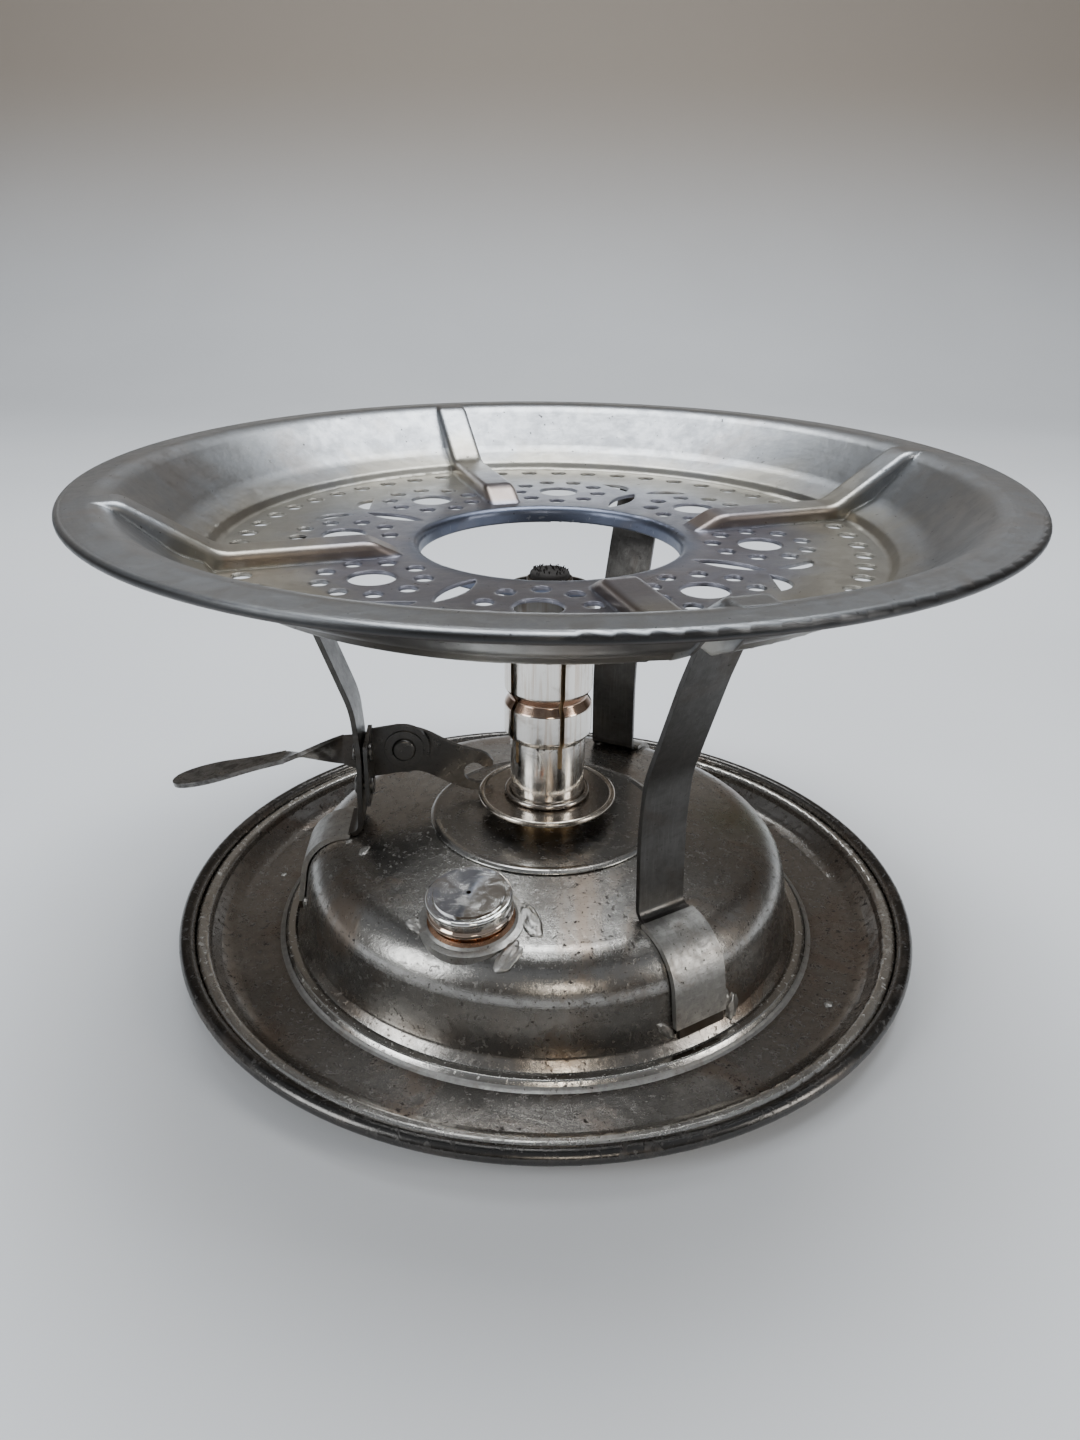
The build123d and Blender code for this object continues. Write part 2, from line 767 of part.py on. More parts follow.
def lever_pivot():
    back = lever_offset - lever_sheet / 2 - side_clearance
    shank = across(pivot_radius, pivot_u, pivot_z, back, pivot_front)
    front_head = across(pivot_head_radius, pivot_u, pivot_z, pivot_front, pivot_front + pivot_head_height)
    back_head = across(pivot_head_radius, pivot_u, pivot_z, back - pivot_head_height, back)
    front_head = fillet(front_head.edges().sort_by(Axis.Y)[-1], 0.7)
    back_head = fillet(back_head.edges().sort_by(Axis.Y)[0], 0.7)
    return left_turn * (shank + front_head + back_head)


def lever_washers():
    rings = []
    for low in (lever_front + side_clearance, ear_front):
        ring = across(washer_radius, pivot_u, pivot_z, low, low + washer_sheet - 0.01)
        ring -= across(pivot_radius + solder_gap, pivot_u, pivot_z, low - 1, low + 2)
        rings.append(left_turn * ring)
    return Compound(children=rings)


def bracket_rivets():
    rivets = []
    outer = strap_sheet + solder_gap * 2 + 0.9
    for z in rivet_heights():
        shank = drum(bracket_rivet_radius, -bracket_sheet, outer)
        inner_head = drum(bracket_rivet_radius * 1.8, -bracket_sheet - 0.7, -bracket_sheet)
        outer_head = drum(bracket_rivet_radius * 1.8, outer, outer + 0.7)
        inner_head = fillet(inner_head.edges().sort_by(Axis.Z)[0], 0.5)
        outer_head = fillet(outer_head.edges().sort_by(Axis.Z)[-1], 0.5)
        rivets.append(left_turn * rivet_place(z) * (shank + inner_head + outer_head))
    return Compound(children=rivets)


# ---------------------------------------------------------------- write every piece

builders = [
    drip_tray, tray_rim_wire, tank_floor, tank_shell, tank_seam_solder, burner_plate,
    wick_tube, wick, burner_sleeve, sleeve_flange, sleeve_foot_ring,
    filler_neck, cap_gasket, filler_cap, filler_solder, pot_plate,
    leg_foot_solder, leg_top_solder,
    lever, lever_bracket, lever_pivot, lever_washers, bracket_rivets,
]

for build in builders:
    save(build.__name__, build())

for leg_name in leg_azimuths:
    save(leg_name, leg(leg_name))
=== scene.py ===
import math
import random

import bpy
from mathutils import Matrix, Vector, noise as field


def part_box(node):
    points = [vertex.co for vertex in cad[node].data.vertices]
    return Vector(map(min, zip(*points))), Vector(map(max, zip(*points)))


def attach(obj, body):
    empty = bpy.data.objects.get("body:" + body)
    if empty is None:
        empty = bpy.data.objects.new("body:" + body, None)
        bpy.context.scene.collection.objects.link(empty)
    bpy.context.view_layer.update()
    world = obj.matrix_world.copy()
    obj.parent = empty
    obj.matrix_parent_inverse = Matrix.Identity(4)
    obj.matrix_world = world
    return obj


# Spirit table stove, dressed for a plain studio picture. Metres, +Z up, origin under the tray.
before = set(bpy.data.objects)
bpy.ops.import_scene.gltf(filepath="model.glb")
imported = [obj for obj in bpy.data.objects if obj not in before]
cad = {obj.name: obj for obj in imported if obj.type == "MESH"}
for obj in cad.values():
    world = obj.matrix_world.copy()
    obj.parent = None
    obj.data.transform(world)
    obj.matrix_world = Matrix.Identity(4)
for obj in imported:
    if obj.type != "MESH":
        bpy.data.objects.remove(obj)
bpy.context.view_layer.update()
perMetre = 1000  # millimetres
print("frame loaded:", len(cad), "nodes")


# ---- small helpers for shader nodes
def feed(tree, socket, value):
    if isinstance(value, bpy.types.NodeSocket):
        tree.links.new(value, socket)
    elif isinstance(value, tuple) and len(value) == 3 and len(socket.default_value) == 4:
        socket.default_value = (*value, 1)
    else:
        socket.default_value = value


def calc(tree, operation, a, b=0.0, clamp=False):
    node = tree.nodes.new("ShaderNodeMath")
    node.operation = operation
    node.use_clamp = clamp
    feed(tree, node.inputs[0], a)
    feed(tree, node.inputs[1], b)
    return node.outputs[0]


def fade(tree, value, low, high, outLow=0.0, outHigh=1.0):
    # smooth step from low to high, either way round
    node = tree.nodes.new("ShaderNodeMapRange")
    node.interpolation_type = "SMOOTHSTEP"
    if low > high:
        low, high, outLow, outHigh = high, low, outHigh, outLow
    for index, number in enumerate((value, low, high, outLow, outHigh)):
        feed(tree, node.inputs[index], number)
    return node.outputs[0]


def blendColour(tree, amount, a, b):
    node = tree.nodes.new("ShaderNodeMix")
    node.data_type = "RGBA"
    feed(tree, node.inputs[0], amount)
    feed(tree, node.inputs[6], a)
    feed(tree, node.inputs[7], b)
    return node.outputs[2]


def grainOf(tree, vector, scale, detail=5.0, rough=0.55, twist=0.0):
    node = tree.nodes.new("ShaderNodeTexNoise")
    feed(tree, node.inputs["Vector"], vector)
    node.inputs["Scale"].default_value = scale
    node.inputs["Detail"].default_value = detail
    node.inputs["Roughness"].default_value = rough
    node.inputs["Distortion"].default_value = twist
    return node.outputs[0]


def stretched(tree, vector, scale, turn=(0, 0, 0)):
    node = tree.nodes.new("ShaderNodeMapping")
    feed(tree, node.inputs["Vector"], vector)
    node.inputs["Rotation"].default_value = turn
    node.inputs["Scale"].default_value = scale
    return node.outputs[0]


def startMetal(name):
    # metallic shader with its place in millimetres, its radius from the burner axis and its height
    mat = bpy.data.materials.new(name)
    mat.use_nodes = True
    tree = mat.node_tree
    shader = tree.nodes["Principled BSDF"]
    shader.inputs["Metallic"].default_value = 1.0
    place = tree.nodes.new("ShaderNodeVectorMath")
    place.operation = "SCALE"
    place.inputs["Scale"].default_value = perMetre
    tree.links.new(tree.nodes.new("ShaderNodeTexCoord").outputs["Object"], place.inputs[0])
    mm = place.outputs[0]
    parts = tree.nodes.new("ShaderNodeSeparateXYZ")
    tree.links.new(mm, parts.inputs[0])
    x, y, z = parts.outputs
    squares = calc(tree, "ADD", calc(tree, "MULTIPLY", x, x), calc(tree, "MULTIPLY", y, y))
    radius = calc(tree, "SQRT", squares)
    turn = calc(tree, "ARCTAN2", y, x)
    polar = tree.nodes.new("ShaderNodeCombineXYZ")
    tree.links.new(radius, polar.inputs[0])
    tree.links.new(calc(tree, "MULTIPLY", turn, 9.0), polar.inputs[1])
    tree.links.new(z, polar.inputs[2])
    return {"mat": mat, "tree": tree, "shader": shader, "mm": mm, "x": x, "z": z, "radius": radius,
            "polar": polar.outputs[0]}


def spot(m, centre, size, ragged=0.5):
    # round patch about a point in millimetres, with a ragged edge
    tree = m["tree"]
    away = tree.nodes.new("ShaderNodeVectorMath")
    away.operation = "DISTANCE"
    tree.links.new(m["mm"], away.inputs[0])
    away.inputs[1].default_value = centre
    wobble = calc(tree, "MULTIPLY", grainOf(tree, m["mm"], 0.18, 4, 0.6), size * ragged)
    distance = calc(tree, "ADD", away.outputs["Value"], wobble)
    return fade(tree, distance, size * (1.1 + ragged * 0.5), size * 0.35)


def finishMetal(m, colour, rough, height, strength=0.2, depth=0.0003, edge=0.0):
    tree = m["tree"]
    feed(tree, m["shader"].inputs["Base Color"], colour)
    feed(tree, m["shader"].inputs["Roughness"], rough)
    bump = tree.nodes.new("ShaderNodeBump")
    bump.inputs["Strength"].default_value = strength
    bump.inputs["Distance"].default_value = depth
    feed(tree, bump.inputs["Height"], height)
    if edge:
        soft = tree.nodes.new("ShaderNodeBevel")
        soft.samples = 3
        soft.inputs["Radius"].default_value = edge
        tree.links.new(soft.outputs[0], bump.inputs["Normal"])
    tree.links.new(bump.outputs[0], m["shader"].inputs["Normal"])
    return m["mat"]


def agedMetal(name, look):
    # mottled sheet metal: smears, brown films, dark pits, spinning grain and wear
    m = startMetal(name)
    tree = m["tree"]
    smear = grainOf(tree, m["mm"], look["smearScale"], 6, 0.62, 0.9)
    mottle = grainOf(tree, m["mm"], look["mottleScale"], 8, 0.68, 0.4)
    pits = grainOf(tree, m["mm"], look["pitScale"], 3, 0.6)
    crumbs = grainOf(tree, m["mm"], look["pitScale"] * 2.7, 2, 0.5)
    spun = grainOf(tree, stretched(tree, m["polar"], (3.0, 0.12, 3.0)), 1.0, 4, 0.6)
    patches = calc(tree, "MULTIPLY", fade(tree, mottle, 0.3, 0.7), look.get("mottleAmount", 0.5))
    colour = blendColour(tree, patches, look["light"], look["dark"])
    colour = blendColour(tree, fade(tree, spun, 0.45, 0.75, 0, 0.25), colour, look["dark"])
    brown = calc(tree, "MULTIPLY", fade(tree, smear, 0.5, 0.68), look["brownAmount"])
    colour = blendColour(tree, brown, colour, look["brown"])
    pitted = calc(tree, "MULTIPLY", fade(tree, pits, look["pitLevel"], look["pitLevel"] + 0.05),
                  fade(tree, smear, 0.38, 0.6, 0.35, 1.0))
    specks = fade(tree, crumbs, look["pitLevel"] + 0.05, look["pitLevel"] + 0.09, 0, 0.8)
    colour = blendColour(tree, calc(tree, "MAXIMUM", pitted, specks), colour, look["pit"])
    rough = fade(tree, mottle, 0.25, 0.75, look["roughLow"], look["roughHigh"])
    rough = calc(tree, "ADD", rough, calc(tree, "MULTIPLY", pitted, 0.3))
    rough = calc(tree, "ADD", rough, calc(tree, "MULTIPLY", brown, 0.12), clamp=True)
    metal = calc(tree, "SUBTRACT", 1.0, calc(tree, "MULTIPLY", pitted, 0.55))
    tree.links.new(metal, m["shader"].inputs["Metallic"])
    dents = calc(tree, "MULTIPLY", smear, look.get("dents", 2.0))
    height = calc(tree, "ADD", dents, calc(tree, "MULTIPLY", mottle, 0.5))
    height = calc(tree, "SUBTRACT", height, calc(tree, "MULTIPLY", pitted, 0.35))
    height = calc(tree, "ADD", height, calc(tree, "MULTIPLY", spun, 0.08))
    m.update(colour=colour, rough=rough, height=height, mottle=mottle, smear=smear)
    return m


def wear(nodeName, mat):
    piece = cad[nodeName]
    piece.data.materials.clear()
    piece.data.materials.append(mat)


# ---- drip tray: tinned sheet gone grey, painted shade in the trough beside the tank foot and on the outer rolled rim, painted highlight on its bead
trayLook = {
    "light": (0.37, 0.355, 0.335), "dark": (0.145, 0.132, 0.12), "brown": (0.175, 0.12, 0.085),
    "pit": (0.022, 0.017, 0.014),
    "smearScale": 0.04, "mottleScale": 0.4, "mottleAmount": 0.6, "pitScale": 0.8, "pitLevel": 0.61,
    "brownAmount": 0.6,
    "roughLow": 0.17, "roughHigh": 0.3, "dents": 1.8,
}
m = agedMetal("agedTray", trayLook)
t = m["tree"]
# painted highlight along the bead ring, patchy with the mottle
bead = calc(t, "MULTIPLY", fade(t, m["radius"], 83.0, 83.8), fade(t, m["radius"], 86.4, 85.6))
bright = calc(t, "MULTIPLY", bead, fade(t, m["mottle"], 0.75, 0.45, 0.35, 0.85))
colour = blendColour(t, bright, m["colour"], (0.60, 0.59, 0.56))
# painted shade on the outer rolled rim, patchy with the smears
edge = fade(t, m["radius"], 86.2, 87.6)
rimShade = calc(t, "MULTIPLY", edge, fade(t, m["smear"], 0.7, 0.5, 0.7, 0.95))
colour = blendColour(t, rimShade, colour, (0.07, 0.068, 0.066))
# painted shade in the trough beside the tank foot
troughShade = calc(t, "MULTIPLY", fade(t, m["radius"], 69.0, 65.0), 0.55)
colour = blendColour(t, troughShade, colour, (0.07, 0.055, 0.045))
trayMetal = finishMetal(m, colour, m["rough"], m["height"], 0.3, 0.00035)
wear("drip_tray", trayMetal)

# ---- wire inside the rolled rim
wireLook = {
    "light": (0.26, 0.25, 0.24), "dark": (0.1, 0.095, 0.09), "brown": (0.16, 0.09, 0.05),
    "pit": (0.02, 0.015, 0.012),
    "smearScale": 0.05, "mottleScale": 0.3, "pitScale": 0.8, "pitLevel": 0.62, "brownAmount": 0.6,
    "roughLow": 0.35, "roughHigh": 0.55,
}
m = agedMetal("rimWire", wireLook)
wear("tray_rim_wire", finishMetal(m, m["colour"], m["rough"], m["height"]))

# ---- fuel tank: darker, with brown films on the wall, a green bloom on the right shoulder, a painted highlight on the foot ring and painted shade on the foot flare
tankLook = {
    "light": (0.36, 0.352, 0.335), "dark": (0.165, 0.157, 0.145), "brown": (0.215, 0.15, 0.10),
    "pit": (0.02, 0.015, 0.013),
    "smearScale": 0.035, "mottleScale": 0.34, "mottleAmount": 0.5, "pitScale": 0.85, "pitLevel": 0.61,
    "brownAmount": 0.6,
    "roughLow": 0.19, "roughHigh": 0.3, "dents": 2.2,
}
m = agedMetal("agedTank", tankLook)
t = m["tree"]
bloom = calc(t, "MULTIPLY", spot(m, (49, 3, 22), 15, 0.9), 0.42)
colour = blendColour(t, bloom, m["colour"], (0.13, 0.16, 0.075))
# painted highlight on the foot ring, which is also made a little smoother
footRingHighlight = calc(t, "MULTIPLY", fade(t, m["radius"], 62.6, 63.2), fade(t, m["radius"], 65.6, 64.9))
colour = blendColour(t, calc(t, "MULTIPLY", footRingHighlight, 0.8), colour, (0.55, 0.54, 0.51))
# painted shade with a brownish painted reflection on the foot flare, patchy with the smears
foot = calc(t, "MULTIPLY", fade(t, m["z"], 10.0, 4.5), fade(t, m["radius"], 62.6, 61.8))
footFlareShade = calc(t, "MULTIPLY", foot, fade(t, m["smear"], 0.4, 0.6, 0.15, 0.6))
colour = blendColour(t, footFlareShade, colour, (0.13, 0.09, 0.06))
rough = calc(t, "SUBTRACT", m["rough"], calc(t, "MULTIPLY", footRingHighlight, 0.08))
tankMetal = finishMetal(m, colour, rough, m["height"], 0.32, 0.0004)
wear("tank_shell", tankMetal)
wear("tank_floor", tankMetal)

# ---- burner plate: the raised disc under the burner, with a painted highlight making it lighter beyond its edge bead
discLook = dict(tankLook, light=(0.36, 0.35, 0.335), pitLevel=0.65, roughLow=0.19, roughHigh=0.3, dents=1.2)
m = agedMetal("agedDisc", discLook)
t = m["tree"]
# painted highlight: lighter beyond radius 28.6 mm
colour = blendColour(t, fade(t, m["radius"], 27.6, 28.6, 0, 0.7), m["colour"], (0.5, 0.5, 0.48))
wear("burner_plate", finishMetal(m, colour, m["rough"], m["height"], 0.25, 0.0003))
print("tray and tank dressed")

# ---- soft solder, dull with bright ridges
solderLook = {
    "light": (0.44, 0.435, 0.42), "dark": (0.17, 0.165, 0.155), "brown": (0.17, 0.12, 0.08),
    "pit": (0.05, 0.045, 0.04),
    "smearScale": 0.12, "mottleScale": 0.5, "pitScale": 1.2, "pitLevel": 0.64, "brownAmount": 0.3,
    "roughLow": 0.3, "roughHigh": 0.5, "dents": 1.0,
}
m = agedMetal("softSolder", solderLook)
solderMetal = finishMetal(m, m["colour"], m["rough"], m["height"], 0.5, 0.0004)
for nodeName in ("tank_seam_solder", "filler_solder", "leg_foot_solder", "leg_top_solder"):
    wear(nodeName, solderMetal)

# ---- legs: grey-brown straps, bare along their edges
strapLook = {
    "light": (0.082, 0.079, 0.075), "dark": (0.042, 0.04, 0.037), "brown": (0.058, 0.043, 0.032),
    "pit": (0.014, 0.012, 0.01),
    "smearScale": 0.05, "mottleScale": 0.35, "mottleAmount": 0.5, "pitScale": 1.1, "pitLevel": 0.66,
    "brownAmount": 0.45,
    "roughLow": 0.27, "roughHigh": 0.4, "dents": 1.0,
}
m = agedMetal("agedStrap", strapLook)
t = m["tree"]
lines = grainOf(t, stretched(t, m["mm"], (2.2, 2.2, 0.07)), 1.0, 3, 0.6)
colour = blendColour(t, fade(t, lines, 0.5, 0.75, 0, 0.3), m["colour"], (0.13, 0.127, 0.121))
tab = fade(t, m["z"], 26.5, 23.0)
rusty = calc(t, "MULTIPLY", tab, fade(t, m["smear"], 0.35, 0.65, 0.5, 0.9))
colour = blendColour(t, rusty, colour, (0.05, 0.038, 0.028))
rough = calc(t, "ADD", m["rough"], calc(t, "MULTIPLY", tab, 0.1))
strapMetal = finishMetal(m, colour, rough, m["height"], 0.25, 0.0003, 0.00022)
for nodeName in ("leg_left", "leg_front", "leg_back"):
    wear(nodeName, strapMetal)

# ---- lever and bracket: dark steel, rubbed pale at the twist and blade
leverLook = {
    "light": (0.115, 0.111, 0.106), "dark": (0.052, 0.05, 0.047), "brown": (0.065, 0.045, 0.033),
    "pit": (0.015, 0.013, 0.011),
    "smearScale": 0.07, "mottleScale": 0.4, "mottleAmount": 0.5, "pitScale": 1.2, "pitLevel": 0.65,
    "brownAmount": 0.4,
    "roughLow": 0.24, "roughHigh": 0.4, "dents": 0.8,
}
m = agedMetal("darkLever", leverLook)
t = m["tree"]
rubbed = fade(t, m["x"], -50.0, -58.0, 0, 0.65)
worn = calc(t, "MULTIPLY", rubbed, fade(t, m["mottle"], 0.62, 0.42))
colour = blendColour(t, worn, m["colour"], (0.25, 0.245, 0.235))
leverMetal = finishMetal(m, colour, m["rough"], m["height"], 0.22, 0.0003, 0.0002)
wear("lever", leverMetal)
m = agedMetal("darkSteel", dict(leverLook, light=(0.095, 0.092, 0.088)))
darkMetal = finishMetal(m, m["colour"], m["rough"], m["height"], 0.22, 0.0003, 0.0002)
for nodeName in ("lever_bracket", "lever_pivot", "lever_washers", "bracket_rivets"):
    wear(nodeName, darkMetal)
print("solder, legs and lever dressed")


# ---- burner sleeve: bright nickel, worn to copper in its groove, sooty above
def nickelSleeve(name, look):
    m = startMetal(name)
    t = m["tree"]
    smudge = grainOf(t, m["mm"], 0.16, 6, 0.6, 0.6)
    fine = grainOf(t, m["mm"], 0.9, 4, 0.6)
    upright = grainOf(t, stretched(t, m["mm"], (1.3, 1.3, 0.05)), 1.0, 4, 0.6)
    colour = blendColour(t, fade(t, upright, 0.46, 0.66, 0, 0.55), look["bright"], look["tan"])
    colour = blendColour(t, fade(t, smudge, 0.56, 0.72, 0, 0.55), colour, look["film"])
    groove = calc(t, "MULTIPLY", fade(t, m["z"], 57.9, 58.7), fade(t, m["z"], 62.9, 62.1))
    colour = blendColour(t, calc(t, "MULTIPLY", groove, 0.85), colour, look["copper"])
    step = calc(t, "MULTIPLY", fade(t, m["z"], 48.2, 49.6), fade(t, m["z"], 52.4, 51.2))
    specks = calc(t, "MULTIPLY", step, fade(t, fine, 0.58, 0.62))
    soot = fade(t, calc(t, "ADD", m["z"], calc(t, "MULTIPLY", smudge, 10.0)), 76.0, 90.0)
    dark = calc(t, "MAXIMUM", specks, calc(t, "MULTIPLY", soot, 0.85))
    colour = blendColour(t, dark, colour, look["black"])
    rough = calc(t, "ADD", fade(t, smudge, 0.35, 0.7, look["roughLow"], look["roughHigh"]),
                 calc(t, "MULTIPLY", dark, 0.35), clamp=True)
    height = calc(t, "ADD", smudge, calc(t, "MULTIPLY", fine, 0.12))
    return finishMetal(m, colour, rough, height, 0.14, 0.0003)


sleeveLook = {
    "bright": (0.80, 0.78, 0.74), "tan": (0.52, 0.40, 0.30), "film": (0.36, 0.27, 0.20),
    "copper": (0.33, 0.20, 0.13), "black": (0.02, 0.016, 0.013), "roughLow": 0.09, "roughHigh": 0.24,
}
wear("burner_sleeve", nickelSleeve("nickelSleeve", sleeveLook))

# ---- flange and foot ring: worn nickel, bead polished by the claw
flangeLook = {
    "light": (0.40, 0.37, 0.335), "dark": (0.17, 0.145, 0.12), "brown": (0.18, 0.11, 0.07),
    "pit": (0.02, 0.015, 0.012),
    "smearScale": 0.09, "mottleScale": 0.5, "mottleAmount": 0.45, "pitScale": 1.4, "pitLevel": 0.66,
    "brownAmount": 0.5,
    "roughLow": 0.15, "roughHigh": 0.26, "dents": 0.8,
}
m = agedMetal("wornNickel", flangeLook)
t = m["tree"]
bead = fade(t, m["radius"], 15.0, 15.7)
polished = calc(t, "MULTIPLY", bead, fade(t, m["mottle"], 0.6, 0.4, 0.3, 0.9))
colour = blendColour(t, polished, m["colour"], (0.58, 0.52, 0.44))
flangeMetal = finishMetal(m, colour, m["rough"], m["height"], 0.2, 0.0003)
wear("sleeve_flange", flangeMetal)
wear("sleeve_foot_ring", flangeMetal)

# ---- wick tube: brass, darkened by heat towards its mouth
tubeLook = {
    "light": (0.50, 0.37, 0.22), "dark": (0.22, 0.15, 0.09), "brown": (0.12, 0.07, 0.045),
    "pit": (0.02, 0.015, 0.012),
    "smearScale": 0.1, "mottleScale": 0.3, "pitScale": 1.0, "pitLevel": 0.64, "brownAmount": 0.6,
    "roughLow": 0.25, "roughHigh": 0.45,
}
m = agedMetal("heatedBrass", tubeLook)
t = m["tree"]
colour = blendColour(t, fade(t, m["z"], 72.0, 84.0, 0, 0.85), m["colour"], (0.035, 0.028, 0.024))
wear("wick_tube", finishMetal(m, colour, m["rough"], m["height"]))

# ---- filler neck: copper showing through
neckLook = dict(tubeLook, light=(0.62, 0.38, 0.25), dark=(0.36, 0.19, 0.11), roughLow=0.16, roughHigh=0.32)
m = agedMetal("copperNeck", neckLook)
wear("filler_neck", finishMetal(m, m["colour"], m["rough"], m["height"]))

# ---- filler cap: mirror nickel on top, tarnished round the skirt
m = startMetal("mirrorCap")
t = m["tree"]
haze = grainOf(t, m["mm"], 0.35, 6, 0.62, 0.4)
hair = grainOf(t, stretched(t, m["mm"], (0.35, 3.0, 1.0), (0, 0, 0.7)), 1.0, 4, 0.6)
colour = blendColour(t, fade(t, haze, 0.5, 0.7, 0, 0.35), (0.86, 0.86, 0.84), (0.56, 0.54, 0.5))
colour = blendColour(t, calc(t, "MULTIPLY", fade(t, m["z"], 30.2, 28.4), 0.75), colour, (0.44, 0.29, 0.19))
rough = calc(t, "ADD", fade(t, haze, 0.35, 0.75, 0.05, 0.2), fade(t, hair, 0.5, 0.8, 0.0, 0.1))
height = calc(t, "ADD", haze, calc(t, "MULTIPLY", hair, 0.15))
wear("filler_cap", finishMetal(m, colour, rough, height, 0.01, 0.0002))

# ---- gasket: dark pressed fibre
m = startMetal("fibreWasher")
t = m["tree"]
m["shader"].inputs["Metallic"].default_value = 0.0
flecks = grainOf(t, m["mm"], 2.2, 5, 0.7)
colour = blendColour(t, fade(t, flecks, 0.35, 0.7), (0.10, 0.055, 0.03), (0.30, 0.19, 0.11))
wear("cap_gasket", finishMetal(m, colour, 0.8, flecks, 0.4, 0.0002))
print("burner and filler dressed")

# ---- pan plate: satin steel, heat colours round the hole, straw further out, flat pale rim; painted shade on its hem and underside, painted brown reflection on the rib walls
plateLook = {
    "steel": (0.335, 0.347, 0.362), "cool": (0.245, 0.256, 0.272), "straw": (0.33, 0.30, 0.235),
    "violet": (0.15, 0.145, 0.185), "blue": (0.085, 0.105, 0.155), "brown": (0.24, 0.185, 0.14),
    "speck": (0.03, 0.027, 0.026), "hem": (0.03, 0.03, 0.031),
}
m = startMetal("satinPlate")
t = m["tree"]
cloud = grainOf(t, m["mm"], 0.035, 5, 0.6, 0.7)
mottle = grainOf(t, m["mm"], 0.2, 7, 0.66, 0.3)
spun = grainOf(t, stretched(t, m["polar"], (2.6, 0.1, 2.6)), 1.0, 5, 0.65)
scratchA = grainOf(t, stretched(t, m["mm"], (0.05, 3.2, 0.5), (0, 0, 0.5)), 1.0, 4, 0.55)
scratchB = grainOf(t, stretched(t, m["mm"], (0.06, 3.0, 0.5), (0, 0, -0.9)), 1.0, 4, 0.55)
drift = calc(t, "MULTIPLY", calc(t, "SUBTRACT", cloud, 0.5), 30.0)
where = calc(t, "ADD", m["radius"], drift)
colour = blendColour(t, fade(t, mottle, 0.34, 0.66), plateLook["steel"], plateLook["cool"])
strawBand = calc(t, "MULTIPLY", fade(t, where, 48.0, 62.0), fade(t, where, 82.0, 71.0))
colour = blendColour(t, calc(t, "MULTIPLY", strawBand, 0.62), colour, plateLook["straw"])
violetBand = fade(t, where, 60.0, 44.0)
colour = blendColour(t, calc(t, "MULTIPLY", violetBand, 0.7), colour, plateLook["violet"])
colour = blendColour(t, fade(t, m["radius"], 34.0, 29.5, 0, 0.75), colour, plateLook["blue"])
colour = blendColour(t, calc(t, "MULTIPLY", fade(t, cloud, 0.56, 0.7), 0.25), colour, plateLook["brown"])
specks = fade(t, grainOf(t, m["mm"], 0.75, 2, 0.5), 0.7, 0.74, 0, 0.75)
grime = calc(t, "MULTIPLY", specks, fade(t, mottle, 0.4, 0.55))
colour = blendColour(t, grime, colour, plateLook["speck"])
scratched = calc(t, "MAXIMUM", fade(t, scratchA, 0.66, 0.72), fade(t, scratchB, 0.68, 0.73))
colour = blendColour(t, calc(t, "MULTIPLY", scratched, 0.3), colour, (0.52, 0.53, 0.54))
# painted shade along the lower outer edge of the rim hem
hem = calc(t, "MULTIPLY", fade(t, m["radius"], 97.9, 98.5), fade(t, m["z"], 112.05, 111.5))
colour = blendColour(t, calc(t, "MULTIPLY", hem, 0.95), colour, plateLook["hem"])
# painted brown reflection on the lower rib walls of the dish
ribWallReflection = calc(t, "MULTIPLY", fade(t, m["z"], 97.6, 98.4), fade(t, m["z"], 101.2, 100.2))
ribWallReflection = calc(t, "MULTIPLY", ribWallReflection, fade(t, m["radius"], 71.0, 69.5))
colour = blendColour(t, calc(t, "MULTIPLY", ribWallReflection, 0.6), colour, plateLook["brown"])
# painted shade on downward-facing surfaces
geometry = t.nodes.new("ShaderNodeNewGeometry")
facing = t.nodes.new("ShaderNodeSeparateXYZ")
t.links.new(geometry.outputs["Normal"], facing.inputs[0])
undersideShade = fade(t, facing.outputs[2], -0.1, -0.5)
colour = blendColour(t, calc(t, "MULTIPLY", undersideShade, 0.55), colour, (0.11, 0.1, 0.095))
rough = calc(t, "ADD", fade(t, mottle, 0.3, 0.7, 0.25, 0.33), calc(t, "MULTIPLY", spun, 0.06))
rough = calc(t, "ADD", rough, calc(t, "MULTIPLY", grime, 0.25))
height = calc(t, "ADD", calc(t, "MULTIPLY", cloud, 2.4), calc(t, "MULTIPLY", mottle, 0.22))
height = calc(t, "ADD", height, calc(t, "MULTIPLY", spun, 0.12))
height = calc(t, "SUBTRACT", height, calc(t, "MULTIPLY", scratched, 0.06))
m["shader"].inputs["Anisotropic"].default_value = 0.35
plateMetal = finishMetal(m, colour, rough, height, 0.22, 0.0004, 0.0008)
wear("pot_plate", plateMetal)
print("plate dressed")

# ---- solder lumps and splashes, pressed onto the surface under them
def surfaceBelow(nodeName, x, y, top):
    # point and normal of a CAD piece straight below (x, y), in millimetres
    hit, at, normal, _ = cad[nodeName].ray_cast(Vector((x, y, top)) / perMetre, Vector((0, 0, -1)))
    return (at, normal) if hit else (None, None)


def solderLump(name, at, normal, look):
    # a flattened drop: half sunk in the sheet, with a ragged outline
    bpy.ops.mesh.primitive_ico_sphere_add(subdivisions=4, radius=1.0)
    lump = bpy.context.object
    lump.name = name
    side = normal.orthogonal().normalized()
    side = Matrix.Rotation(math.radians(look.get("turn", 0)), 3, normal) @ side
    other = normal.cross(side)
    long, wide, tall = (size / perMetre for size in look["size"])
    shift = Vector((look["seed"] * 3.7, look["seed"] * 1.9, 0.3))
    for vertex in lump.data.vertices:
        p = vertex.co.copy()
        p *= 1 + 0.35 * field.noise(p * 1.7 + shift) + 0.1 * field.noise(p * 4.5 + shift)
        vertex.co = at + side * p.x * long + other * p.y * wide + normal * max(p.z, -0.6) * tall
    lump.data.materials.append(solderMetal)
    for face in lump.data.polygons:
        face.use_smooth = True
    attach(lump, "stand")


